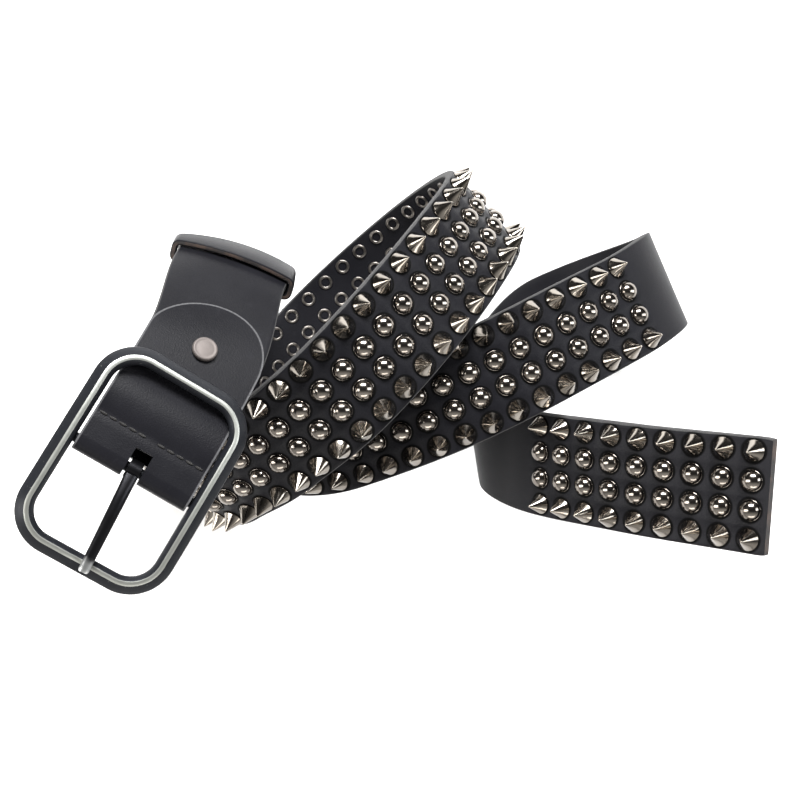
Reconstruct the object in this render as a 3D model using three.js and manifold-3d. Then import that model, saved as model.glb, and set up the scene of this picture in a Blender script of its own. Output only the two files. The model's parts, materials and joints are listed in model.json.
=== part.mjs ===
// Studded belt, loosely coiled and lying on its side. Millimetres, +Z up, the floor at Z = 0.
import * as THREE from "three";
import { mergeVertices } from "three/addons/utils/BufferGeometryUtils.js";
import Module from "manifold-3d";

const wasm = await Module();
wasm.setup();
const { Manifold, Mesh } = wasm;

// Driving dimensions
const WIDTH = 38.6; // strap width
const THICK = 3.8; // strap leather
const PITCH = 10.2; // stud columns along the strap
const ROW = 9.7; // stud rows across the strap
const PHASE = 0.73; // share of a pitch by which column 0 follows the buckle bar
const FIELD = [31, 88]; // first and last column of the long field of studs
const TAIL = [111, 119]; // first and last column at the free end
const TIP = 6; // leather past the last column
const CONE = { base: 3.8, height: 6.2, sides: 10 };
const DOME = { base: 3.7, brow: 2.2, height: 3, sides: 10 };
const SKIN = 1.5; // thinner leather that folds round the buckle bar
const GAP = 0.3;
const BAR = 1.6; // radius of the buckle bar
const STRAP_START = 12; // where the strap's cut end lies between the two legs of the fold
const FLAP = 45; // where the round end of the front leg begins, which is also the rivet's place
const SLOT = 2.8; // half width of the tongue's slot
const FRAME = { room: 0.7, halfLength: 34.6, corner: 14, band: 5.6, above: 1.7, tilt: 8 };
const TONGUE = { root: 2.1, tip: 1.6, length: 33.5, thick: 2.6, lean: 4.5 };
const KEEPER = { at: 93.5, length: 10.5, wall: 2, room: 0.6 };
const RIVET = { head: 4.1, rise: 1.6, post: 1.9, back: 3.6 };

// The run of the strap's studded face: a row per fold or stretch, where its middle line lies,
// which way its width points (fan in plan, lean up) and how far it has turned about its width.
const ROUTE = [
  { name: "buckle bar", at: [-80.5, -21.5, 160], fan: -31.5, lean: -11, turn: 343 },
  { name: "rivet", at: [-62.5, 15, 141], fan: -28.5, lean: -9, turn: 329 },
  { name: "keeper", at: [-57, 46, 112], fan: -20, lean: -2, turn: 301 },
  { name: "top left fold", at: [-63, 54, 79], fan: -19, lean: -7, turn: 270 },
  { name: "first rest", at: [-92, 17, 0.4], fan: -27, lean: -1, turn: 180 },
  { name: "left fold", at: [-86, -33, 55], fan: -35, lean: -10, turn: 90 },
  { name: "front rise", at: [-66, -32, 94], fan: -38, lean: -18, turn: 48 },
  { name: "front rise high", at: [-45.5, -19, 113], fan: -42.5, lean: -17, turn: 28 },
  { name: "front crest", at: [-17, 5, 125], fan: -44.5, lean: -14, turn: 0 },
  { name: "front fall", at: [24, 55.5, 98], fan: -45.3, lean: -12, turn: -45 },
  { name: "upper right fold", at: [32, 74, 62], fan: -45.5, lean: -13, turn: -92 },
  { name: "second rest", at: [-24, 38, 8.4], fan: -46, lean: -10, turn: -180 },
  { name: "middle fold", at: [-63, -16, 48], fan: -56, lean: -12, turn: -270 },
  { name: "middle rise", at: [-22, -15, 89], fan: -63.5, lean: -12, turn: -333 },
  { name: "middle crest", at: [24, 4, 101], fan: -65, lean: -6, turn: -360 },
  { name: "middle fall", at: [81, 33, 83], fan: -65, lean: -3, turn: -389 },
  { name: "right fold", at: [105, 48, 50], fan: -67, lean: 0, turn: -450 },
  { name: "third rest", at: [66, 35, 4.8], fan: -66, lean: 0, turn: -532 },
  { name: "third rise", at: [38, 8, 10.5], fan: -72, lean: -6, turn: -582 },
  { name: "lower fold", at: [29, -15, 42], fan: -80.5, lean: -15, turn: -630 },
  { name: "tail rise", at: [42, -22, 67], fan: -89, lean: -10, turn: -660 },
  { name: "tail", at: [75, -27, 104], fan: -90.5, lean: -9, turn: -681 },
  { name: "tail end", at: [123, -32, 140], fan: -94, lean: -4, turn: -682 },
];

const V = (x, y, z) => new THREE.Vector3(x, y, z);
const rad = THREE.MathUtils.degToRad;
const across = (fan, lean) =>
  V(Math.cos(rad(lean)) * Math.cos(rad(fan)), Math.cos(rad(lean)) * Math.sin(rad(fan)), Math.sin(rad(lean)));

function heading(row) {
  const level = V(-Math.sin(rad(row.fan)), Math.cos(rad(row.fan)), 0);
  const up = across(row.fan, row.lean).cross(level);
  return level.multiplyScalar(Math.cos(rad(row.turn))).addScaledVector(up, Math.sin(rad(row.turn)));
}

const hermite = (u) => [
  2 * u ** 3 - 3 * u ** 2 + 1,
  u ** 3 - 2 * u ** 2 + u,
  3 * u ** 2 - 2 * u ** 3,
  u ** 3 - u ** 2,
];

function sampleRoute(steps) {
  const slope = (key, i) => {
    const a = ROUTE[Math.max(i - 1, 0)], b = ROUTE[Math.min(i + 1, ROUTE.length - 1)];
    return (b[key] - a[key]) / (i === 0 || i === ROUTE.length - 1 ? 1 : 2);
  };
  const points = [], widths = [];
  for (let i = 0; i < ROUTE.length - 1; i++) {
    const a = ROUTE[i], b = ROUTE[i + 1];
    const p0 = V(...a.at), p1 = V(...b.at);
    const pull = p0.distanceTo(p1) / Math.cos(rad(a.turn - b.turn) / 4) ** 2;
    const last = i === ROUTE.length - 2 ? 1 : 0;
    for (let k = 0; k < steps + last; k++) {
      const h = hermite(k / steps);
      points.push(V(0, 0, 0).addScaledVector(p0, h[0]).addScaledVector(heading(a), h[1] * pull)
        .addScaledVector(p1, h[2]).addScaledVector(heading(b), h[3] * pull));
      const mix = (key) =>
        h[0] * a[key] + h[1] * slope(key, i) + h[2] * b[key] + h[3] * slope(key, i + 1);
      widths.push(across(mix("fan"), mix("lean")));
    }
  }
  return { points, widths };
}

const raw = sampleRoute(24);
const reach = [0];
for (let i = 1; i < raw.points.length; i++)
  reach.push(reach[i - 1] + raw.points[i].distanceTo(raw.points[i - 1]));
const LENGTH = reach[reach.length - 1];

function along(list, s) {
  const top = Math.min(Math.max(s, 0), LENGTH - 1e-6);
  let i = 0;
  while (reach[i + 1] < top) i++;
  const u = (top - reach[i]) / (reach[i + 1] - reach[i]);
  return list[i].clone().lerp(list[i + 1], u);
}

// Position and axes of the studded face at arc length s: t along, w across, n outwards.
function frameAt(s) {
  const t = along(raw.points, s + 3).sub(along(raw.points, s - 3)).normalize();
  const w = along(raw.widths, s);
  w.addScaledVector(t, -t.dot(w)).normalize();
  const at = along(raw.points, s - 2).add(along(raw.points, s)).add(along(raw.points, s + 2));
  return { p: at.divideScalar(3), t, w, n: w.clone().cross(t) };
}

const place = (f, along_, across_, out) =>
  f.p.clone().addScaledVector(f.t, along_).addScaledVector(f.w, across_).addScaledVector(f.n, out);

// Solids
function toSolid(positions, index) {
  const g = new THREE.BufferGeometry();
  g.setAttribute("position", new THREE.Float32BufferAttribute(positions.flatMap((p) => p.toArray()), 3));
  g.setIndex(index);
  return solidOf(g);
}

// A closed geometry as a solid, turned to face outwards, without triangles that have no area.
function solidOf(geometry) {
  const g = geometry.clone();
  g.deleteAttribute("normal");
  g.deleteAttribute("uv");
  const m = mergeVertices(g, 1e-4), kept = [];
  for (let i = 0; i < m.index.count; i += 3) {
    const [a, b, c] = [0, 1, 2].map((k) => m.index.getX(i + k));
    if (a !== b && b !== c && c !== a) kept.push(a, b, c);
  }
  const build = (triVerts) => new Manifold(new Mesh({
    numProp: 3,
    vertProperties: new Float32Array(m.attributes.position.array),
    triVerts,
  }));
  const solid = build(new Uint32Array(kept));
  if (solid.volume() >= 0) return solid;
  for (let i = 0; i < kept.length; i += 3) [kept[i + 1], kept[i + 2]] = [kept[i + 2], kept[i + 1]];
  return build(new Uint32Array(kept));
}

// Skins a list of equal rings; closes on itself, or caps both ends.
function loft(rings, closed = false) {
  const n = rings[0].length, index = [];
  const count = closed ? rings.length : rings.length - 1;
  for (let i = 0; i < count; i++)
    for (let j = 0; j < n; j++) {
      const a = i * n + j, b = i * n + ((j + 1) % n);
      const c = ((i + 1) % rings.length) * n + j, d = ((i + 1) % rings.length) * n + ((j + 1) % n);
      index.push(a, b, d, a, d, c);
    }
  if (!closed)
    for (let j = 1; j < n - 1; j++) {
      const e = (rings.length - 1) * n;
      index.push(0, j + 1, j, e, e + j, e + j + 1);
    }
  return toSolid(rings.flat(), index);
}

function turned(f, profile, sides) {
  const rings = profile.map(([r, h]) =>
    Array.from({ length: sides }, (_, k) => {
      const a = (2 * Math.PI * (k + 0.5)) / sides;
      return place(f, r * Math.cos(a), r * Math.sin(a), h);
    }));
  return loft(rings);
}

// Strap with its studs
const columnAt = (n) => (n + PHASE) * PITCH;
const columns = [];
for (let n = FIELD[0]; n <= FIELD[1]; n++) columns.push(n);
for (let n = TAIL[0]; n <= TAIL[1]; n++) columns.push(n);
const END = columnAt(TAIL[1]) + TIP;

// Cross-cuts of the strap: one each side of a stud column, so each column has a flat seat.
const cuts = [STRAP_START];
for (let n = 2; n <= TAIL[1]; n++) cuts.push(columnAt(n - 0.5));
const lastSeat = cuts.push(columnAt(TAIL[1] + 0.5)) - 2;
cuts.push(END);
const lanes = [-WIDTH / 2, -ROW, 0, ROW, WIDTH / 2];
const corners = cuts.map((s) => frameAt(s));

const points = [], faces = [];
const add = (p) => points.push(p) - 1;
const tops = corners.map((f) => lanes.map((w) => add(place(f, 0, w, 0))));
const lows = corners.map((f) => [lanes[0], lanes[4]].map((w) => add(place(f, 0, w, -THICK))));

// The seat of one stud: a plane through the middle of its cell.
function seatOf(i, lane) {
  const [a, b] = [corners[i], corners[i + 1]];
  const w0 = (lane - 1.5) * ROW;
  const t = place(b, 0, w0, 0).sub(place(a, 0, w0, 0)).normalize();
  const w = a.w.clone().add(b.w);
  w.addScaledVector(t, -t.dot(w)).normalize();
  const p = place(a, 0, w0, 0).add(place(b, 0, w0, 0)).multiplyScalar(0.5);
  return { p, t, w, n: w.clone().cross(t) };
}

function ring(f, r, h, sides) {
  return Array.from({ length: sides }, (_, k) => {
    const a = (2 * Math.PI * (k + 0.5)) / sides;
    return add(place(f, r * Math.sin(a), r * Math.cos(a), h));
  });
}

// A cell of the face with a stud standing in it; the loops run anticlockwise seen from outside.
function studCell(loop, f, stud) {
  const foot = ring(f, stud.base, 0, stud.sides), n = foot.length, start = 5;
  for (let k = 0, c = 0; k < n; k++) {
    const footAngle = 36 * (k + 1);
    const g = (k + start) % n, h = (g + 1) % n;
    faces.push(loop[c % 4], foot[h], foot[g]);
    while (c < 4 && footAngle >= 90 * (c + 1)) {
      faces.push(loop[c % 4], loop[(c + 1) % 4], foot[h]);
      c++;
    }
  }
  if (!stud.brow) {
    const peak = add(place(f, 0, 0, stud.height));
    for (let k = 0; k < n; k++) faces.push(foot[k], foot[(k + 1) % n], peak);
    return;
  }
  const brow = ring(f, stud.brow, stud.height, stud.sides);
  for (let k = 0; k < n; k++) {
    const h = (k + 1) % n;
    faces.push(foot[k], foot[h], brow[h], foot[k], brow[h], brow[k]);
    if (k > 0 && k < n - 1) faces.push(brow[0], brow[k], brow[h]);
  }
}

const studded = (i) => {
  const n = i + 1;
  return (n >= FIELD[0] && n <= FIELD[1]) || (n >= TAIL[0] && n <= TAIL[1]);
};
for (let i = 0; i < cuts.length - 1; i++) {
  const [a, b] = [tops[i], tops[i + 1]], [c, d] = [lows[i], lows[i + 1]];
  for (let lane = 0; lane < 4; lane++) {
    const loop = [a[lane], a[lane + 1], b[lane + 1], b[lane]];
    if (i <= lastSeat && studded(i))
      studCell(loop, seatOf(i, lane), lane === 0 || lane === 3 ? CONE : DOME);
    else faces.push(loop[0], loop[1], loop[2], loop[0], loop[2], loop[3]);
  }
  faces.push(c[1], c[0], d[0], c[1], d[0], d[1]);
  faces.push(a[0], b[0], d[0], a[0], d[0], c[0]);
  faces.push(b[4], a[4], c[1], b[4], c[1], d[1]);
}
for (const [top, low, near] of [[tops[0], lows[0], true], [tops.at(-1), lows.at(-1), false]]) {
  const fan = [top[0], top[1], top[2], top[3], top[4], low[1]];
  for (let k = 0; k < 5; k++)
    faces.push(...(near ? [low[0], fan[k + 1], fan[k]] : [low[0], fan[k], fan[k + 1]]));
}
let strap = toSolid(points, faces);

// Leather folded round the bar: front leg with a round end, the wrap, and a back leg
const bar = frameAt(0);
const barAxis = -THICK / 2; // the bar's middle below the studded face
const half = WIDTH / 2;
const skin = [];
const frontOut = SKIN + GAP;
const leg = [1, 2, 3, 4, 5].map((n) => columnAt(n - 0.5)); // the strap's own cuts
for (const share of [0.99, 0.93, 0.8, 0.58]) {
  const s = FLAP + 18 * share;
  skin.push({ f: frameAt(s), half: half * Math.sqrt(1 - share ** 2), low: GAP, high: frontOut });
}
skin.push({ f: frameAt(leg[4]), half: half * Math.sqrt(1 - ((leg[4] - FLAP) / 18) ** 2), low: GAP, high: frontOut });
for (const s of [FLAP, leg[3], leg[2], leg[1], leg[0]])
  skin.push({ f: frameAt(s), half, low: GAP, high: frontOut });
const skinRings = skin.map((r) => [
  place(r.f, 0, -r.half, r.high), place(r.f, 0, r.half, r.high),
  place(r.f, 0, r.half, r.low), place(r.f, 0, -r.half, r.low),
]);
const inner = BAR + GAP, outer = inner + SKIN;
for (let k = 0; k <= 8; k++) {
  const a = rad(90 + (180 * k) / 8);
  const at = (r, w) => place(bar, r * Math.cos(a), w, barAxis + r * Math.sin(a));
  skinRings.push([at(outer, -half), at(outer, half), at(inner, half), at(inner, -half)]);
}
const backLow = -THICK - GAP - SKIN, backHigh = -THICK - GAP;
for (const s of leg) {
  const f = frameAt(s);
  skinRings.push([place(f, 0, -half, backLow), place(f, 0, half, backLow),
    place(f, 0, half, backHigh), place(f, 0, -half, backHigh)]);
}
let fold = loft(skinRings);

function block(f, x0, x1, y0, y1, z0, z1) {
  const ring = (x) => [place(f, x, y0, z0), place(f, x, y1, z0), place(f, x, y1, z1), place(f, x, y0, z1)];
  return loft([ring(x0), ring(x1)]);
}
fold = fold.subtract(block(bar, -6, 6.5, -SLOT, SLOT, -9, 5));

// Rivet through the front leg, the strap and the back leg
const rivetSeat = frameAt(FLAP);
const hole = turned(rivetSeat, [[RIVET.post + GAP, -12], [RIVET.post + GAP, 6]], 12);
fold = fold.subtract(hole);
strap = strap.subtract(hole);
const rivet = turned(rivetSeat, [
  [RIVET.back, backLow - GAP - 1.2], [RIVET.back, backLow - GAP], [RIVET.post, backLow - GAP],
  [RIVET.post, frontOut + GAP], [RIVET.head, frontOut + GAP], [RIVET.head, frontOut + GAP + 0.9],
  [RIVET.head - 0.6, frontOut + RIVET.rise],
], 16);

// Buckle frame with its bar, in a frame of its own: x along, y across, z out of the bar's middle
const tilt = rad(FRAME.tilt);
const seat = {
  p: place(bar, 0, 0, barAxis),
  t: bar.t.clone().multiplyScalar(Math.cos(tilt)).addScaledVector(bar.n, Math.sin(tilt)),
  w: bar.w.clone(),
  n: bar.n.clone().multiplyScalar(Math.cos(tilt)).addScaledVector(bar.t, -Math.sin(tilt)),
};
const band = FRAME.band;
const frameHalf = half + FRAME.room + band; // the strap fits between the frame's sides
const profile = [[0, -1.6], [0, 0.4], [2.1, 2.6], [3.6, 2.6], [band, 0.6], [band, -1.6]];
function roundedPath(inset) {
  const path = [], hx = FRAME.halfLength - inset, hy = frameHalf - inset;
  const r = Math.max(FRAME.corner - inset, 2);
  for (const [sx, sy, a0] of [[1, 1, 0], [-1, 1, 90], [-1, -1, 180], [1, -1, 270]])
    for (let k = 0; k <= 5; k++) {
      const a = rad(a0 + 18 * k);
      path.push([sx * (hx - r) + r * Math.cos(a), sy * (hy - r) + r * Math.sin(a)]);
    }
  return path;
}
const loops = profile.map(([inset]) => roundedPath(inset));
const arch = (x) => -0.0022 * x * x; // the frame bows down a little towards both ends
const frameRings = loops[0].map((_, k) =>
  profile.map(([, z], j) => place(seat, loops[j][k][0], loops[j][k][1], z + FRAME.above + arch(loops[j][k][0]))));
let buckle = loft(frameRings, true);
const barRings = [-1, 1].map((side) =>
  Array.from({ length: 12 }, (_, k) => {
    const a = (2 * Math.PI * k) / 12;
    return place(seat, BAR * Math.cos(a), side * (frameHalf - band / 2), BAR * Math.sin(a));
  }));
buckle = buckle.add(loft(barRings));
const notch = { p: place(seat, -FRAME.halfLength, 0, 0), t: seat.t, w: seat.w, n: seat.n };
buckle = buckle.subtract((() => {
  const rings = [0.5, 7].map((x) => Array.from({ length: 12 }, (_, k) => {
    const a = (2 * Math.PI * k) / 12;
    return place(notch, x, 2.3 * Math.cos(a), 2.9 + 1.6 * Math.sin(a) + arch(30));
  }));
  return loft(rings);
})());

// Tongue: a loop round the bar and a slightly leaning pin that rests on the far side
const turn = rad(TONGUE.lean);
const pin = {
  p: seat.p.clone(), n: seat.n.clone(),
  t: seat.t.clone().multiplyScalar(-Math.cos(turn)).addScaledVector(seat.w, Math.sin(turn)),
  w: seat.w.clone().multiplyScalar(Math.cos(turn)).addScaledVector(seat.t, Math.sin(turn)),
};
const loopIn = BAR + GAP, loopOut = loopIn + 1.3;
const ringAt = (r, y) => Array.from({ length: 14 }, (_, k) => {
  const a = (2 * Math.PI * k) / 14;
  return place(seat, r * Math.cos(a), y, r * Math.sin(a));
});
let tongue = loft([ringAt(loopOut, -TONGUE.root), ringAt(loopOut, TONGUE.root)])
  .subtract(loft([ringAt(loopIn, -4), ringAt(loopIn, 4)]));
const lift = [[1.5, 3.7, 1.5], [6, 4.7, 2.3], [12, 5.7, 2.6], [20, 5.5, 2.5], [27, 4.9, 2.3], [32, 4.8, 2.1],
  [TONGUE.length, 4.6, 1.4]]; // distance from the bar, height of the top, thickness
const pinRings = lift.map(([x, top, thick], i) => {
  const w = TONGUE.root + ((TONGUE.tip - TONGUE.root) * x) / TONGUE.length - (i === lift.length - 1 ? 0.5 : 0);
  const mid = top - thick / 2;
  return Array.from({ length: 8 }, (_, k) => {
    const a = (2 * Math.PI * (k + 0.5)) / 8;
    return place(pin, x, w * Math.cos(a) * 1.06, mid + (thick / 2) * Math.sin(a));
  });
});
tongue = tongue.add(loft(pinRings).subtract(loft([ringAt(loopIn, -4), ringAt(loopIn, 4)])));

// Keeper: a closed leather loop round the strap
const keeperRing = (grow) => {
  const y = half + KEEPER.room + grow, top = KEEPER.room + grow, low = -THICK - KEEPER.room - grow;
  const c = grow ? 1.8 : 0.6;
  return [[y - c, top], [y, top - c], [y, low + c], [y - c, low], [-y + c, low], [-y, low + c], [-y, top - c],
    [-y + c, top]];
};
const keeperSolid = (grow, past) =>
  loft([-0.5, -0.2, 0.15, 0.5].map((share) => {
    const f = frameAt(KEEPER.at + share * KEEPER.length);
    return keeperRing(grow).map(([y, z]) => place(f, past * Math.sign(share) * (Math.abs(share) === 0.5), y, z));
  }));
const keeper = keeperSolid(KEEPER.wall, 0).subtract(keeperSolid(0, 2));

// Meshes
const leather = new THREE.MeshStandardMaterial({ color: 0x1c1c20, roughness: 0.55 });
const blackMetal = new THREE.MeshStandardMaterial({ color: 0x24262a, roughness: 0.4, metalness: 0.8 });
const paleMetal = new THREE.MeshStandardMaterial({ color: 0xa89f9c, roughness: 0.5, metalness: 0.9 });

const group = new THREE.Group();
function addMesh(name, solid, material) {
  const m = solid.getMesh(), g = new THREE.BufferGeometry(), n = m.numProp;
  const pos = new Float32Array(m.numVert * 3);
  for (let i = 0; i < m.numVert; i++) pos.set(m.vertProperties.subarray(i * n, i * n + 3), i * 3);
  g.setAttribute("position", new THREE.BufferAttribute(pos, 3));
  g.setIndex(new THREE.BufferAttribute(new Uint32Array(m.triVerts), 1));
  g.computeVertexNormals();
  const mesh = new THREE.Mesh(g, material);
  mesh.name = name;
  group.add(mesh);
}
addMesh("studded_strap", strap, leather);
addMesh("bar_fold", fold, leather);
addMesh("keeper", keeper, leather);
addMesh("fold_rivet", rivet, paleMetal);
addMesh("buckle_frame", buckle, blackMetal);
addMesh("tongue", tongue, blackMetal);

// The origin lies on the floor, below the middle of the whole coil's box.
const box = new THREE.Box3().setFromObject(group);
const middle = box.getCenter(V(0, 0, 0));
group.position.set(-middle.x, -middle.y, -box.min.z);

export default group;
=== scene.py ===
"""Studded belt, loosely coiled and lying on its side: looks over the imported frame. Metres, +Z up."""
import bisect
import json
import math

import bmesh
import bpy
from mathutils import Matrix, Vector


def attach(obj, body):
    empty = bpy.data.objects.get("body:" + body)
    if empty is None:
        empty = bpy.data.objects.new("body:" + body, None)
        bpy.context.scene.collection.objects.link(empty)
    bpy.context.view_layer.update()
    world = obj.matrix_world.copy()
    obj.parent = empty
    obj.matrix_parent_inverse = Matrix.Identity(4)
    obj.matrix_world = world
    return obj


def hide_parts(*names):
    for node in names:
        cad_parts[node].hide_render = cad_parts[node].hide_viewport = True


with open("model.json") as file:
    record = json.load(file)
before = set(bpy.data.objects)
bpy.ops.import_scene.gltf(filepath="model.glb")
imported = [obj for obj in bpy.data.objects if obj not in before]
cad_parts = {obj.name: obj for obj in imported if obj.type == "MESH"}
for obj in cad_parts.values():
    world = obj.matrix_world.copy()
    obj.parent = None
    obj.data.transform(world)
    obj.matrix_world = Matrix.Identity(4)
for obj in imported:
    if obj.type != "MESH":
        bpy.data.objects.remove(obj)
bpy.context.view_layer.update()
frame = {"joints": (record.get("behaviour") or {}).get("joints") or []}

# Driving dimensions, the same as the frame's
MM = 0.001
WIDTH = 38.6 * MM
THICK = 3.8 * MM
PITCH = 10.2 * MM  # stud columns along the strap
ROW = 9.7 * MM  # stud rows across it
PHASE = 0.73
FIELD = (31, 88)  # first and last column of the long field
TAIL = (111, 119)  # first and last column at the free end
TIP = 6 * MM
STRAP_START = 12 * MM
SKIN = 1.5 * MM  # thinner leather round the buckle bar
GAP = 0.3 * MM
BAR = 1.6 * MM
FLAP = 45 * MM  # the rivet's place, where the fold's round end begins
FLAP_ROUND = 18 * MM
FOLD_NEAR = 1 * MM  # where the fold's legs meet the part that goes round the bar
FOLD_BACK = 46 * MM  # the end of its back leg
FOLD_STEPS = 40  # mesh steps across the fold
SLOT = 2.8 * MM  # half the slot's width, and its reach in front of the bar and behind it
SLOT_FRONT = 6.2 * MM
SLOT_BACK = 3.6 * MM
STITCHES_AT = 10.5 * MM
FRAME_HALF = (34.6 * MM, 25.6 * MM)
FRAME_CORNER = 14 * MM
FRAME_ABOVE = 1.7 * MM
FRAME_TILT = 8
TONGUE_LEAN = 4.5
KEEPER_AT = 93.5 * MM
KEEPER_LENGTH = 10.5 * MM
KEEPER_WALL = 2 * MM
KEEPER_ROOM = 0.6 * MM
HALF = WIDTH / 2
EDGE = 0.55 * MM  # rounding of the strap's edges
GOLDEN = 0.6180339  # steps a tone from copy to copy without a pattern
FACE_STEPS = 42  # mesh steps across the studded face, and round the whole section
SECTION_STEPS = 70

# The run of the studded face: name, place in metres, fan, lean, turn
ROUTE = [
    ("buckle bar", (-0.0805, -0.0215, 0.160), -31.5, -11, 343),
    ("rivet", (-0.0625, 0.015, 0.141), -28.5, -9, 329),
    ("keeper", (-0.057, 0.046, 0.112), -20, -2, 301),
    ("top left fold", (-0.063, 0.054, 0.079), -19, -7, 270),
    ("first rest", (-0.092, 0.017, 0.0004), -27, -1, 180),
    ("left fold", (-0.086, -0.033, 0.055), -35, -10, 90),
    ("front rise", (-0.066, -0.032, 0.094), -38, -18, 48),
    ("front rise high", (-0.0455, -0.019, 0.113), -42.5, -17, 28),
    ("front crest", (-0.017, 0.005, 0.125), -44.5, -14, 0),
    ("front fall", (0.024, 0.0555, 0.098), -45.3, -12, -45),
    ("upper right fold", (0.032, 0.074, 0.062), -45.5, -13, -92),
    ("second rest", (-0.024, 0.038, 0.0084), -46, -10, -180),
    ("middle fold", (-0.063, -0.016, 0.048), -56, -12, -270),
    ("middle rise", (-0.022, -0.015, 0.089), -63.5, -12, -333),
    ("middle crest", (0.024, 0.004, 0.101), -65, -6, -360),
    ("middle fall", (0.081, 0.033, 0.083), -65, -3, -389),
    ("right fold", (0.105, 0.048, 0.050), -67, 0, -450),
    ("third rest", (0.066, 0.035, 0.0048), -66, 0, -532),
    ("third rise", (0.038, 0.008, 0.0105), -72, -6, -582),
    ("lower fold", (0.029, -0.015, 0.042), -80.5, -15, -630),
    ("tail rise", (0.042, -0.022, 0.067), -89, -10, -660),
    ("tail", (0.075, -0.027, 0.104), -90.5, -9, -681),
    ("tail end", (0.123, -0.032, 0.140), -94, -4, -682),
]


def across(fan, lean):
    fan, lean = math.radians(fan), math.radians(lean)
    return Vector((math.cos(lean) * math.cos(fan), math.cos(lean) * math.sin(fan), math.sin(lean)))


def heading(row):
    _, _, fan, lean, turn = row
    fan_r, turn_r = math.radians(fan), math.radians(turn)
    level = Vector((-math.sin(fan_r), math.cos(fan_r), 0))
    return level * math.cos(turn_r) + across(fan, lean).cross(level) * math.sin(turn_r)


def hermite(u):
    return (2*u**3 - 3*u**2 + 1, u**3 - 2*u**2 + u, 3*u**2 - 2*u**3, u**3 - u**2)


def sample_route(steps):
    last = len(ROUTE) - 1

    def slope(column, i):
        step = ROUTE[min(i + 1, last)][column] - ROUTE[max(i - 1, 0)][column]
        return step / (1 if i in (0, last) else 2)

    points, widths = [], []
    for i in range(last):
        a, b = ROUTE[i], ROUTE[i + 1]
        p0, p1 = Vector(a[1]), Vector(b[1])
        pull = (p1 - p0).length / math.cos(math.radians(a[4] - b[4]) / 4) ** 2
        for k in range(steps + (i == last - 1)):
            h = hermite(k / steps)
            points.append(p0 * h[0] + heading(a) * h[1] * pull + p1 * h[2] + heading(b) * h[3] * pull)
            mixed = [h[0]*a[c] + h[1]*slope(c, i) + h[2]*b[c] + h[3]*slope(c, i + 1) for c in (2, 3)]
            widths.append(across(*mixed))
    return points, widths


POINTS, WIDTHS = sample_route(24)
REACH = [0.0]
for before, after in zip(POINTS, POINTS[1:]):
    REACH.append(REACH[-1] + (after - before).length)


class Seat:
    """A place with three axes: t along, w across, n out."""

    def __init__(self, p, t, w, n):
        self.p, self.t, self.w, self.n = p, t, w, n

    def place(self, along, across_, out):
        return self.p + self.t * along + self.w * across_ + self.n * out


def along(values, s):
    s = min(max(s, 0), REACH[-1] - 1e-9)
    i = max(bisect.bisect_left(REACH, s) - 1, 0)
    return values[i].lerp(values[i + 1], (s - REACH[i]) / (REACH[i + 1] - REACH[i]))


def frame_at(s):
    """The studded face at arc length s."""
    t = (along(POINTS, s + 3*MM) - along(POINTS, s - 3*MM)).normalized()
    w = along(WIDTHS, s)
    w = (w - t * t.dot(w)).normalized()
    p = (along(POINTS, s - 2*MM) + along(POINTS, s) + along(POINTS, s + 2*MM)) / 3
    return Seat(p, t, w, w.cross(t))


# The route is moved as a whole so that its bar lies on the frame's joint.
BAR_MIDDLE = Vector(next(j for j in frame["joints"] if j["name"] == "tongue_swing")["pos_m"])
SHIFT = BAR_MIDDLE - frame_at(0).place(0, 0, -THICK / 2)
POINTS = [p + SHIFT for p in POINTS]
bar = frame_at(0)
tilt = math.radians(FRAME_TILT)
seat = Seat(
    BAR_MIDDLE,
    bar.t * math.cos(tilt) + bar.n * math.sin(tilt),
    bar.w,
    bar.n * math.cos(tilt) - bar.t * math.sin(tilt),
)


def column_at(n):
    return (n + PHASE) * PITCH


END = column_at(TAIL[1]) + TIP


# Mesh building

def grid_mesh(columns, rows, where, wrap_columns=False, wrap_rows=False):
    """A grid whose point (i, j) goes to where(i, j); a wrapped side is joined to its start."""
    bm = bmesh.new()
    uv = bm.loops.layers.uv.new("UVMap")
    bmesh.ops.create_grid(bm, x_segments=columns, y_segments=rows, size=1, calc_uvs=True)
    placed = {}
    for v in bm.verts:
        placed[v] = (round((v.co.x + 1) / 2 * columns), round((v.co.y + 1) / 2 * rows))
    for face in bm.faces:
        face.smooth = True
        for loop in face.loops:
            i, j = placed[loop.vert]
            loop[uv].uv = (i / columns, j / rows)
    for v, (i, j) in placed.items():
        v.co = where(i, j)
    if wrap_columns or wrap_rows:
        bmesh.ops.remove_doubles(bm, verts=bm.verts, dist=1e-6)
    bmesh.ops.recalc_face_normals(bm, faces=bm.faces)
    return bm


def join(bm, other):
    """Adds another mesh, whose UV is all zero."""
    uv = other.loops.layers.uv["UVMap"]
    for face in other.faces:
        for loop in face.loops:
            loop[uv].uv = (0, 0)
    mesh = bpy.data.meshes.new("joined")
    other.to_mesh(mesh)
    other.free()
    bm.from_mesh(mesh)
    bpy.data.meshes.remove(mesh)


def close_ends(bm):
    bmesh.ops.holes_fill(bm, edges=[e for e in bm.edges if e.is_boundary], sides=0)
    bmesh.ops.recalc_face_normals(bm, faces=bm.faces)


def finished(name, bm, material, body, sharp=38):
    mesh = bpy.data.meshes.new(name)
    for face in bm.faces:
        face.smooth = True
    bm.to_mesh(mesh)
    bm.free()
    mesh.set_sharp_from_angle(angle=math.radians(sharp))
    piece = bpy.data.objects.new(name, mesh)
    bpy.context.scene.collection.objects.link(piece)
    mesh.materials.append(material)
    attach(piece, body)
    return piece


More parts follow.
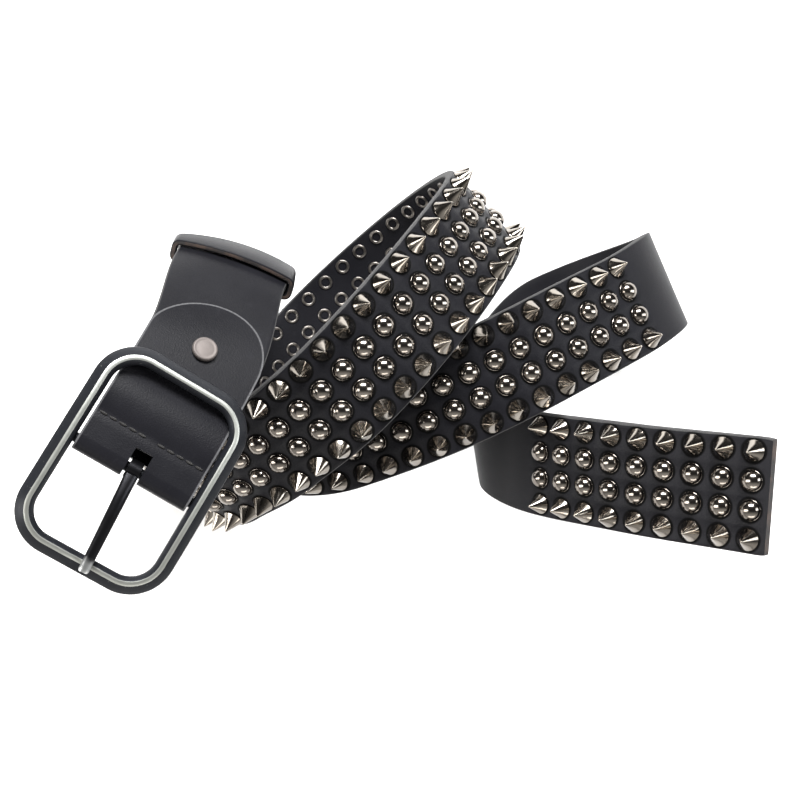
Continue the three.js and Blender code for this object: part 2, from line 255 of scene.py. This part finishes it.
def turned(profile, steps):
    """A mesh turned about +Z from (radius, height) points."""
    bm = bmesh.new()
    verts = [bm.verts.new((r, 0, z)) for r, z in profile]
    edges = [bm.edges.new(pair) for pair in zip(verts, verts[1:])]
    bmesh.ops.spin(bm, geom=verts + edges, cent=(0, 0, 0), axis=(0, 0, 1), dvec=(0, 0, 0),
                   angle=math.tau, steps=steps, use_merge=True)
    bmesh.ops.remove_doubles(bm, verts=bm.verts, dist=1e-6)
    bmesh.ops.recalc_face_normals(bm, faces=bm.faces)
    mesh = bpy.data.meshes.new("turned")
    bm.to_mesh(mesh)
    bm.free()
    return mesh


def copies(template, seats):
    """One mesh with the template at each seat, and a tone of each copy's own in its UV."""
    bm = bmesh.new()
    uv = bm.loops.layers.uv.new("UVMap")
    for number, place in enumerate(seats):
        old = len(bm.verts)
        old_faces = len(bm.faces)
        bm.from_mesh(template)
        bm.verts.ensure_lookup_table()
        bm.faces.ensure_lookup_table()
        for v in bm.verts[old:]:
            v.co = place.place(*v.co)
        tone = (number * GOLDEN) % 1
        for face in bm.faces[old_faces:]:
            for loop in face.loops:
                loop[uv].uv = (tone, 0.5)
    return bm


# Materials

class Node:
    """A socket that adds, subtracts and multiplies like a number."""

    tree = None

    def __init__(self, socket):
        self.socket = socket

    @classmethod
    def make(cls, kind, output=0, inputs=None, **settings):
        node = cls.tree.nodes.new(kind)
        for key, value in settings.items():
            setattr(node, key, value)
        for key, value in (inputs or {}).items():
            if isinstance(value, Node):
                cls.tree.links.new(value.socket, node.inputs[key])
            else:
                node.inputs[key].default_value = value
        return cls(node.outputs[output])

    @classmethod
    def maths(cls, operation, *values):
        return cls.make("ShaderNodeMath", operation=operation, inputs=dict(enumerate(values)))

    def __add__(self, other):
        return Node.maths("ADD", self, other)

    def __sub__(self, other):
        return Node.maths("SUBTRACT", self, other)

    def __rsub__(self, other):
        return Node.maths("SUBTRACT", other, self)

    def __mul__(self, other):
        return Node.maths("MULTIPLY", self, other)

    __radd__ = __add__
    __rmul__ = __mul__


def step(value, low, high):
    return Node.make("ShaderNodeMapRange", inputs={"Value": value, "From Min": low, "From Max": high},
                     interpolation_type="SMOOTHSTEP")


def mix(factor, a, b):
    made = Node.make("ShaderNodeMix", data_type="RGBA", output=2)
    node = made.socket.node
    for key, value in ((0, factor), (6, a), (7, b)):
        if isinstance(value, Node):
            Node.tree.links.new(value.socket, node.inputs[key])
        else:
            node.inputs[key].default_value = value
    return made


def noise(place, scale, detail=3.0, rough=0.55):
    return Node.make("ShaderNodeTexNoise", inputs={"Vector": place, "Scale": scale, "Detail": detail,
                                                   "Roughness": rough})


def bump(height, strength, distance):
    return Node.make("ShaderNodeBump", inputs={"Height": height, "Strength": strength,
                                               "Distance": distance})


def material(name, build):
    made = bpy.data.materials.new(name)
    made.use_nodes = True
    Node.tree = made.node_tree
    shader = made.node_tree.nodes["Principled BSDF"]
    for key, value in build().items():
        if isinstance(value, Node):
            made.node_tree.links.new(value.socket, shader.inputs[key])
        else:
            shader.inputs[key].default_value = value
    return made


def object_place():
    return Node.make("ShaderNodeTexCoord", output=3)


def uv_axis(axis):
    """The piece's UV along x (0) or y (1)."""
    return Node.make("ShaderNodeSeparateXYZ", output=axis,
                     inputs={"Vector": Node.make("ShaderNodeTexCoord", output=2)})


def leather_look(rough=0.46, edges=False, rim=False):
    """Black hide: fine pores, slow mottling and light scuffs."""
    def build():
        place = object_place()
        pores = Node.make("ShaderNodeTexVoronoi", inputs={"Vector": place, "Scale": 1900.0})
        grain = noise(place, 2600.0, 4.0)
        mottle = noise(place, 45.0, 5.0)
        scuffs = step(noise(place, 260.0, 6.0, 0.7), 0.58, 0.72)
        height = pores * 0.35 + grain * 0.5 + mottle * 0.6
        skin = mix(mottle * 0.7 + scuffs * 0.35, (0.0045, 0.0045, 0.0058, 1), (0.012, 0.012, 0.015, 1))
        roughness = mottle * 0.22 + scuffs * 0.12 + (rough - 0.12)
        if edges:  # the cut edges, by the UV that runs round the section; their light grey is partly the edges' own colour and partly a painted highlight
            uv = uv_axis(1)
            right = step(uv, 0.60, 0.615) * (1 - step(uv, 0.685, 0.70))
            cut_edge_and_highlight = right + step(uv, 0.90, 0.915)
            skin = mix(cut_edge_and_highlight * grain, skin, (0.09, 0.089, 0.088, 1))
            roughness = roughness + cut_edge_and_highlight * 0.25
            # painted shade: the near-black ring round each stud stands for the shadow in the gap at its
            # seat; its extra roughness and dip are the leather's own
            seats = stud_seat_shade_ring()
            skin = mix(seats, skin, (0.0008, 0.0008, 0.0009, 1))
            roughness = roughness + seats * 0.3
            height = height - seats * 1.6
        if rim:  # a painted highlight along the fold's cut rim, placed by the distance from it in the UV
            near = 1 - step(uv_axis(0), 0.02, 0.038)
            skin = mix(near * grain, skin, (0.15, 0.15, 0.155, 1))
        return {
            "Base Color": skin,
            "Roughness": roughness,
            "Specular IOR Level": 0.1,
            "Normal": bump(height, 0.22, 0.0004),
        }
    return build


def stud_seat_shade_ring():
    """1 in the ring pressed round each stud, from the strap's own UV; the near-black colour put on it is
    painted shade in the gap round the stud.
    """
    u, v = uv_axis(0), uv_axis(1)
    s = u * (END - STRAP_START) + STRAP_START
    y = v * ((2*HALF - 2*EDGE) * SECTION_STEPS / FACE_STEPS) - (HALF - EDGE)
    column = (Node.maths("FRACT", s * (1 / PITCH) + (1.5 - PHASE)) - 0.5) * PITCH
    lane = (Node.maths("FRACT", y * (1 / ROW) + 4) - 0.5) * ROW
    r = Node.maths("SQRT", column * column + lane * lane)
    ring = step(r, 4.6*MM, 4.1*MM)
    fields = 0
    for first, last in (FIELD, TAIL):
        fields = step(s, column_at(first - 0.5), column_at(first - 0.45)) * (
            1 - step(s, column_at(last + 0.45), column_at(last + 0.5))) + fields
    return ring * fields * (1 - step(v, 0.6, 0.605))


def raw_edge_look():
    """Cut leather: brown fibre under worn black dye."""
    place = object_place()
    fibre = noise(place, 1500.0, 6.0, 0.7)
    worn = step(noise(place, 120.0, 4.0), 0.42, 0.6)
    return {
        "Base Color": mix(worn * fibre, (0.012, 0.01, 0.01, 1), (0.09, 0.055, 0.04, 1)),
        "Roughness": 0.72 + fibre * 0.2,
        "Normal": bump(fibre, 0.5, 0.0005),
    }


def metal_look(colour, rough, spread=0.1):
    """Plated metal whose tone differs a little from stud to stud."""
    def build():
        place = object_place()
        tone = uv_axis(0)
        smear = noise(place, 420.0, 4.0)
        dark = tuple(c * 0.62 for c in colour) + (1,)
        return {
            "Base Color": mix(tone * 0.55 + smear * 0.5, dark, tuple(colour) + (1,)),
            "Metallic": 1.0,
            "Roughness": smear * spread + (rough - spread / 2),
            "Normal": bump(noise(place, 900.0, 3.0), 0.06, 0.0003),
        }
    return build


def frame_look():
    """Black plating, worn to bright metal along the ridge; UV y runs round the section."""
    place = object_place()
    uv = uv_axis(1)
    ragged = noise(place, 300.0, 5.0, 0.65)
    wander = noise(place, 40.0, 2.0)
    across_ridge = uv + (ragged - 0.5) * 0.035 + (wander - 0.5) * 0.03
    ridge = step(across_ridge, 0.385, 0.405) * (1 - step(across_ridge, 0.515, 0.535))
    scratch = step(noise(place, 800.0, 3.0, 0.8), 0.66, 0.74) * 0.25
    worn = ridge + scratch * (1 - ridge)
    return {
        "Base Color": mix(worn, (0.011, 0.012, 0.015, 1), (0.36, 0.37, 0.345, 1)),
        "Metallic": worn * 0.6 + 0.35,
        "Roughness": 0.36 + ragged * 0.14,
        "Specular IOR Level": 0.15,
        "Normal": bump(ragged, 0.1, 0.0003),
    }


def rivet_look():
    place = object_place()
    brushed = noise(place, 700.0, 5.0, 0.7)
    patch = noise(place, 160.0, 3.0)
    return {
        "Base Color": mix(patch, (0.1, 0.086, 0.08, 1), (0.145, 0.127, 0.119, 1)),
        "Metallic": 0.5,
        "Roughness": 0.5 + brushed * 0.2,
        "Normal": bump(brushed, 0.12, 0.0003),
    }


def pin_look():
    """Black plating, worn to bright metal at the tip; UV x runs towards the tip."""
    smear = noise(object_place(), 420.0, 4.0)
    tip = step(uv_axis(0) + (smear - 0.5) * 0.05, 0.66, 0.72)
    return {
        "Base Color": mix(tip, (0.016, 0.016, 0.018, 1), (0.4, 0.41, 0.41, 1)),
        "Metallic": 0.9,
        "Roughness": 0.27 + smear * 0.1,
        "Normal": bump(smear, 0.08, 0.0003),
    }


def thread_look():
    place = object_place()
    twist = Node.make("ShaderNodeTexWave", inputs={"Vector": place, "Scale": 700.0, "Distortion": 1.5})
    return {
        "Base Color": mix(twist, (0.005, 0.005, 0.006, 1), (0.014, 0.012, 0.011, 1)),
        "Roughness": 0.6 + twist * 0.15,
        "Normal": bump(twist, 0.5, 0.0003),
    }


LEATHER = material("black_leather", leather_look(edges=True))
FOLD_LEATHER = material("fold_leather", leather_look(rough=0.4, rim=True))
KEEPER_LEATHER = material("keeper_leather", leather_look(rough=0.4))
RAW_EDGE = material("raw_edge", raw_edge_look)
CONE_METAL = material("cone_metal", metal_look((0.27, 0.245, 0.215), 0.15, 0.06))
DOME_METAL = material("dome_metal", metal_look((0.25, 0.225, 0.2), 0.16, 0.06))
EYELET_METAL = material("eyelet_metal", metal_look((0.2, 0.185, 0.17), 0.36, 0.2))
FRAME_METAL = material("worn_black_frame", frame_look)
PIN_METAL = material("black_pin", pin_look)
RIVET_METAL = material("rivet_metal", rivet_look)
THREAD = material("thread", thread_look)


# Strap

def columns():
    return [*range(FIELD[0], FIELD[1] + 1), *range(TAIL[0], TAIL[1] + 1)]


def in_field(s):
    """1 inside a field of studs, 0 outside, with a short ramp."""
    ramp = 0
    for first, last in (FIELD, TAIL):
        low, high = column_at(first - 0.5), column_at(last + 0.5)
        ramp = max(ramp, min(1, max(0, (s - low) / (2*MM)), max(0, (high - s) / (2*MM))))
    return ramp


def swell(s, y):
    """How far the face rises between studs and dips at their seats."""
    u = (s / PITCH - PHASE + 0.5) % 1 - 0.5
    v = (y / ROW + 0.5 + 0.5) % 1 - 0.5
    r = math.hypot(u * PITCH, v * ROW)
    near = math.exp(-((r - 3.9*MM) / (1.1*MM)) ** 2)
    between = max(0.0, min(1.0, (r - 4.2*MM) / (2.2*MM)))
    return in_field(s) * (-0.22*MM * near + 0.22*MM * between)


def crown(s, y):
    """The plain strap bulges outwards between the rivet and the keeper."""
    u = (s - 60*MM) / (56*MM)
    return 2.4*MM * math.sin(math.pi * u) ** 2 * (1 - (y / HALF) ** 2) if 0 < u < 1 else 0


def strap_section():
    """(across, out, face) points round the strap's section, anticlockwise, edges rounded."""
    e = EDGE
    ring = []
    outer, lower = FACE_STEPS, 14
    for k in range(outer + 1):
        ring.append((-HALF + e + (2*HALF - 2*e) * k / outer, 0, True))
    for a in (60, 30, 0):
        ring.append((HALF - e + e * math.cos(math.radians(a)), -e + e * math.sin(math.radians(a)), False))
    for a in (0, -30, -60):
        ring.append((HALF - e + e * math.cos(math.radians(a)), -THICK + e + e * math.sin(math.radians(a)),
                     False))
    for k in range(lower + 1):
        ring.append((HALF - e - (2*HALF - 2*e) * k / lower, -THICK, False))
    for a in (240, 210, 180):
        ring.append((-HALF + e + e * math.cos(math.radians(a)), -THICK + e + e * math.sin(math.radians(a)),
                     False))
    for a in (180, 150, 120):
        ring.append((-HALF + e + e * math.cos(math.radians(a)), -e + e * math.sin(math.radians(a)), False))
    return ring + ring[:1]


def strap_leather():
    ring = strap_section()
    count = 960
    seats = [frame_at(STRAP_START + (END - STRAP_START) * i / count) for i in range(count + 1)]

    def where(i, j):
        y, z, face = ring[j]
        s = STRAP_START + (END - STRAP_START) * i / count
        close = min(1, (END - s) / (3*MM))
        y *= 1 - 0.018 * (1 - close) ** 2  # the cut end's corners are a little rounded
        return seats[i].place(0, y, z + (swell(s, y) if face else 0) + crown(s, y))

    bm = grid_mesh(count, len(ring) - 1, where, wrap_rows=True)
    close_ends(bm)
    piece = finished("strap_leather", bm, LEATHER, "strap", sharp=60)
    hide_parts("studded_strap")
    piece.data.materials.append(RAW_EDGE)
    for face in piece.data.polygons:
        if len(face.vertices) > 4:
            face.material_index = 1


def stud_seats(lanes, out=0.0, flip=False):
    seats = []
    for n in columns():
        f = frame_at(column_at(n))
        for lane in lanes:
            p = f.place(0, (lane - 1.5) * ROW, out)
            seats.append(Seat(p, f.t, f.w, -f.n) if flip else Seat(p, f.t, f.w, f.n))
    return seats


def mm_profile(points):
    return [(r * MM, z * MM) for r, z in points]


def studs():
    cone = turned(mm_profile([(0, 6.2), (0.22, 6.12), (0.42, 5.8), (1.5, 3.9), (2.6, 1.95), (3.35, 0.72),
                              (3.62, 0.4), (3.75, 0.2), (3.72, -0.3), (3.4, -0.6), (0, -0.6)]), 28)
    dome_points = [(3.5 * math.sin(math.radians(a)), 0.1 + 2.9 * math.cos(math.radians(a)))
                   for a in range(0, 91, 10)]
    dome = turned(mm_profile([*dome_points, (3.62, 0.05), (3.65, -0.15), (3.3, -0.5), (0, -0.5)]), 24)
    finished("cone_studs", copies(cone, stud_seats((0, 3))), CONE_METAL, "strap", sharp=50)
    finished("dome_studs", copies(dome, stud_seats((1, 2))), DOME_METAL, "strap", sharp=60)
    eyelet = turned(mm_profile([(1.7, -0.5), (1.75, 0.2), (2.0, 0.55), (2.4, 0.7), (2.85, 0.5),
                                (3.05, -0.2), (2.9, -0.5), (1.7, -0.5)]), 18)
    finished("stud_backs", copies(eyelet, stud_seats(range(4), -THICK, flip=True)), EYELET_METAL, "strap",
             sharp=60)


# Buckle end

def fold_path():
    """(place, half width) along the fold's front leg, from its round end to the bar."""
    path = []
    for k in range(31):
        a = math.radians(2 + 88 * k / 30)
        path.append((FLAP + FLAP_ROUND * math.cos(a), HALF * math.sin(a)))
    for k in range(1, 41):
        path.append((FLAP - (FLAP - FOLD_NEAR) * k / 40, HALF))
    return path


def puff(s):
    """The fold is stuffed between the stitch row and the frame's far side."""
    u = (s - 12*MM) / (15*MM)
    return 1.3*MM * math.sin(math.pi * u) ** 0.8 if 0 < u < 1 else 0


def bar_fold():
    front = fold_path()
    seats = [frame_at(s) for s, _ in front]
    wraps = 19
    back = [FOLD_NEAR + (FOLD_BACK - FOLD_NEAR) * k / 30 for k in range(31)]
    last = len(front) + wraps + len(back) - 1
    radius = BAR + GAP + SKIN

    def where(i, j):
        y = j / FOLD_STEPS * 2 - 1
        if i < len(front):
            s, half = front[i]
            sink = 0.35*MM * math.exp(-((s - STITCHES_AT) / (0.9*MM)) ** 2)
            return seats[i].place(0, y * half, GAP + SKIN + puff(s) - sink)
        i -= len(front)
        if i < wraps:
            a = math.radians(90 + 180 * (i + 0.5) / wraps)
            return bar.place(radius * math.cos(a), y * HALF, -THICK / 2 + radius * math.sin(a))
        return frame_at(back[i - wraps]).place(0, y * HALF, -THICK - GAP - SKIN)

    bm = grid_mesh(last, FOLD_STEPS, where)
    uv = bm.loops.layers.uv["UVMap"]
    for face in bm.faces:
        for loop in face.loops:
            i, y = round(loop[uv].uv.x * last), loop[uv].uv.y * 2 - 1
            s, half = front[i] if i < len(front) else (0, HALF)
            reach = math.hypot(max(0, s - FLAP) / FLAP_ROUND, y * half / HALF)
            loop[uv].uv = (1 - reach, 0.5)

    def in_slot(face):  # the slot is longer in front than behind
        place = face.calc_center_median() - bar.p
        reach = SLOT_FRONT if place.dot(bar.n) > -THICK / 2 else SLOT_BACK
        return place.length < 12*MM and abs(place.dot(bar.w)) < SLOT and abs(place.dot(bar.t)) < reach

    bmesh.ops.delete(bm, geom=[f for f in bm.faces if in_slot(f)], context="FACES")
    at_rivet = frame_at(FLAP)
    near = min(bm.faces, key=lambda f: (f.calc_center_median() - at_rivet.p).length)
    if near.normal.dot(at_rivet.n) < 0:  # the inner layer goes in, against the normals
        bmesh.ops.reverse_faces(bm, faces=bm.faces)
    rim = [e for e in bm.edges if e.is_boundary]
    layer = bmesh.ops.duplicate(bm, geom=bm.verts[:] + bm.edges[:] + bm.faces[:])
    for v in layer["geom"]:
        if isinstance(v, bmesh.types.BMVert):
            v.co -= v.normal * SKIN
    twin = layer["edge_map"]
    middle = bar.place(0, 0, -THICK / 2)
    slot_edges = [e for e in rim if all((v.co - middle).length < 11*MM for v in e.verts)]
    outline = [e for e in rim if e not in slot_edges]
    for loop in (slot_edges, outline):
        bmesh.ops.bridge_loops(bm, edges=loop + [twin[e] for e in loop], use_pairs=False)
    bmesh.ops.recalc_face_normals(bm, faces=bm.faces)
    piece = finished("bar_fold_leather", bm, FOLD_LEATHER, "strap", sharp=50)
    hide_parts("bar_fold")


def stitches():
    """A row of stitches across the fold, with a gap above the slot."""
    bm = bmesh.new()
    f = frame_at(STITCHES_AT)
    for k in range(-5, 6):
        if k == 0:
            continue
        y = k * 3.3*MM
        for v in bmesh.ops.create_uvsphere(bm, u_segments=12, v_segments=8, radius=1)["verts"]:
            v.co = f.place(v.co.y * 0.42*MM, y + v.co.x * 1.35*MM, GAP + SKIN + v.co.z * 0.35*MM)
    finished("stitches", bm, THREAD, "strap")


def rounded_loop(points_per_corner, half_x, half_y, r):
    path = []
    for sx, sy, a0 in ((1, 1, 0), (-1, 1, 90), (-1, -1, 180), (1, -1, 270)):
        for k in range(points_per_corner + 1):
            a = math.radians(a0 + 90 * k / points_per_corner)
            path.append((sx * (half_x - r) + r * math.cos(a), sy * (half_y - r) + r * math.sin(a)))
    return path


def keeper():
    y0 = HALF + KEEPER_ROOM + KEEPER_WALL / 2
    z_mid = -THICK / 2
    z0 = THICK / 2 + KEEPER_ROOM + KEEPER_WALL / 2
    loop = []
    base = rounded_loop(8, y0, z0, 2*MM)
    for a, b in zip(base, base[1:] + base[:1]):
        gap = math.hypot(b[0] - a[0], b[1] - a[1])
        pieces = max(1, round(gap / (1.5*MM)))
        loop += [(a[0] + (b[0] - a[0]) * k / pieces, a[1] + (b[1] - a[1]) * k / pieces)
                 for k in range(pieces)]
    count = len(loop)
    section = rounded_loop(3, KEEPER_LENGTH / 2, KEEPER_WALL / 2, 0.45*MM)
    section += section[:1]

    def where(i, j):
        y, z = loop[i % count]
        before, after = loop[(i - 1) % count], loop[(i + 1) % count]
        ty, tz = after[0] - before[0], after[1] - before[1]
        size = math.hypot(ty, tz)
        oy, oz = tz / size, -ty / size
        x, out = section[j]
        bow = crown(KEEPER_AT, min(abs(y), HALF)) * 1.25
        return frame_at(KEEPER_AT + x).place(-bow * 0.6, y + oy * out, z_mid + z + oz * out + bow)

    bm = grid_mesh(count, len(section) - 1, where, wrap_columns=True, wrap_rows=True)
    piece = finished("keeper_leather", bm, KEEPER_LEATHER, "strap", sharp=50)
    piece.data.materials.append(RAW_EDGE)
    rows = len(section) - 1
    uv = piece.data.uv_layers["UVMap"].data
    for face in piece.data.polygons:
        row = int(sum(uv[k].uv.y for k in face.loop_indices) / len(face.loop_indices) * rows)
        if row in (7, 15):  # the loop's two cut sides
            face.material_index = 1
    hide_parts("keeper")


def rivet():
    low = SKIN + 2 * GAP
    back = -THICK - SKIN - 2 * GAP
    head = [(0, 1.45), (2.6, 1.4), (3.1, 1.28), (3.35, 1.42), (3.7, 1.38), (4.0, 1.05), (4.1, 0.5),
            (4.0, 0), (1.9, 0)]
    foot = [(1.9, 0), (3.5, 0), (3.6, -0.6), (3.1, -1.2), (0, -1.2)]
    profile = [(r, low + z) for r, z in mm_profile(head)] + [(r, back + z) for r, z in mm_profile(foot)]
    piece = finished("fold_rivet_turned", copies(turned(profile, 48), [frame_at(FLAP)]), RIVET_METAL,
                     "strap", sharp=50)
    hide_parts("fold_rivet")


# (inset from the outline, height) in mm, round the frame's section
FRAME_SECTION = [(0.5, -1.6), (0, -1.1), (0, 0.1), (0.25, 0.55), (2.5, 2.3), (2.85, 2.55), (4.1, 2.6),
                 (4.45, 2.4), (5.4, 0.85), (5.6, 0.5), (5.6, -1.1), (5.1, -1.6)]


def arch(x):
    return -2.2 * x * x  # the frame bows down towards both ends


def buckle_frame():
    section = FRAME_SECTION + FRAME_SECTION[:1]
    loops = []
    for inset, _ in section:
        inset *= MM
        corner = max(FRAME_CORNER - inset, 2*MM)
        loop = []
        base = rounded_loop(16, FRAME_HALF[0] - inset, FRAME_HALF[1] - inset, corner)
        for number, (a, b) in enumerate(zip(base, base[1:] + base[:1])):
            pieces = 12 if number % 17 == 16 else 1
            loop += [(a[0] + (b[0] - a[0]) * k / pieces, a[1] + (b[1] - a[1]) * k / pieces)
                     for k in range(pieces)]
        loops.append(loop)
    count = len(loops[0])

    def where(i, j):
        x, y = loops[j][i % count]
        z = section[j][1] * MM + FRAME_ABOVE + arch(x)
        middle = math.exp(-(y / (2.6*MM)) ** 2) if x < -24*MM else 0
        if section[j][1] > 2:  # a shallow notch where the tongue rests
            z -= 0.9*MM * middle
        return seat.place(x, y, z)

    bm = grid_mesh(count, len(section) - 1, where, wrap_columns=True, wrap_rows=True)
    rod_ends = FRAME_HALF[1] - 3*MM

    def on_rod(i, j):
        a = math.tau * j / 20
        return seat.place(BAR * math.cos(a), (i - 1) * rod_ends, BAR * math.sin(a))

    rod = grid_mesh(2, 20, on_rod, wrap_rows=True)
    close_ends(rod)
    join(bm, rod)
    piece = finished("worn_buckle_frame", bm, FRAME_METAL, "buckle", sharp=50)
    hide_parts("buckle_frame")


# The pin's distance from the bar, height of its top and thickness
TONGUE_ROWS = [(1.5, 3.7, 1.5), (3, 4.1, 1.9), (6, 4.7, 2.3), (12, 5.7, 2.6), (20, 5.5, 2.5),
               (27, 4.9, 2.3), (32, 4.8, 2.1), (33.0, 4.75, 1.9), (33.5, 4.6, 1.4)]


def tongue():
    lean = math.radians(TONGUE_LEAN)
    pin = Seat(seat.p, seat.w * math.sin(lean) - seat.t * math.cos(lean),
               seat.w * math.cos(lean) + seat.t * math.sin(lean), seat.n)

    def where(i, j):
        x, top, thick = TONGUE_ROWS[i]
        half = (2.1 - 0.5 * x / 33.5 - (0.35 if i == len(TONGUE_ROWS) - 1 else 0)) * 1.02
        a = math.tau * j / 20
        return pin.place(x * MM, half * MM * math.cos(a), (top - thick / 2 + thick / 2 * math.sin(a)) * MM)

    bm = grid_mesh(len(TONGUE_ROWS) - 1, 20, where, wrap_rows=True)
    close_ends(bm)
    inner, outer = BAR + GAP, BAR + GAP + 1.3*MM
    ring = [(inner, -1), (outer, -1), (outer, 1), (inner, 1), (inner, -1)]

    def on_loop(i, j):
        a = math.tau * i / 32
        r, side = ring[j]
        return seat.place(r * math.cos(a), side * 2.05*MM, r * math.sin(a))

    loop = grid_mesh(32, 4, on_loop, wrap_columns=True, wrap_rows=True)
    join(bm, loop)
    piece = finished("pin_and_loop", bm, PIN_METAL, "tongue", sharp=50)
    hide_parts("tongue")


strap_leather()
studs()
bar_fold()
stitches()
keeper()
rivet()
buckle_frame()
tongue()


# Floor, light and camera

def floor():
    mesh = bpy.data.meshes.new("floor")
    bm = bmesh.new()
    bmesh.ops.create_grid(bm, x_segments=1, y_segments=1, size=3)
    bm.to_mesh(mesh)
    bm.free()
    piece = bpy.data.objects.new("floor", mesh)
    bpy.context.scene.collection.objects.link(piece)
    mesh.materials.append(material("pale_floor", lambda: {
        "Base Color": (0.93, 0.93, 0.93, 1), "Roughness": 0.9}))


def area_light(name, place, aim, size, power, colour=(1, 1, 1)):
    lamp = bpy.data.lights.new(name, "AREA")
    lamp.shape = "RECTANGLE"
    lamp.size, lamp.size_y = size
    lamp.energy = power
    lamp.color = colour
    holder = bpy.data.objects.new(name, lamp)
    holder.location = place
    holder.rotation_euler = (Vector(aim) - Vector(place)).to_track_quat("-Z", "Y").to_euler()
    bpy.context.scene.collection.objects.link(holder)


floor()
area_light("top_softbox", (0.0, 0.75, 0.75), (0, 0, 0.08), (0.7, 0.3), 30)
area_light("left_softbox", (-0.85, -0.1, 0.6), (0, 0, 0.08), (0.3, 0.8), 9, (1, 0.98, 0.95))
area_light("right_softbox", (0.9, 0.1, 0.55), (0, 0, 0.08), (0.3, 0.8), 6, (0.96, 0.98, 1))
area_light("low_fill", (0.1, -0.9, 0.5), (0, 0, 0.08), (0.9, 0.25), 4, (1, 0.97, 0.93))

world = bpy.data.worlds.new("studio")
world.use_nodes = True
Node.tree = world.node_tree
facing = Node.make("ShaderNodeTexCoord", output=0)
front = Node.make("ShaderNodeSeparateXYZ", output=1, inputs={"Vector": facing}) * -1
glow = step(front, 0.1, 0.75) * 0.95 + 0.06
Node.tree.links.new(glow.socket, world.node_tree.nodes["Background"].inputs["Strength"])
world.node_tree.nodes["Background"].inputs["Color"].default_value = (1, 0.98, 0.95, 1)
bpy.context.scene.world = world
bpy.context.scene.view_settings.view_transform = "Standard"

# Straight down from 522 mm above the place the photograph centres on
CAMERA_HEIGHT = 0.522
camera = bpy.data.cameras.new("camera")
camera.lens = 54
camera.sensor_width = 36
holder = bpy.data.objects.new("camera", camera)
holder.location = (SHIFT.x, SHIFT.y, CAMERA_HEIGHT + SHIFT.z)
bpy.context.scene.collection.objects.link(holder)
bpy.context.scene.camera = holder
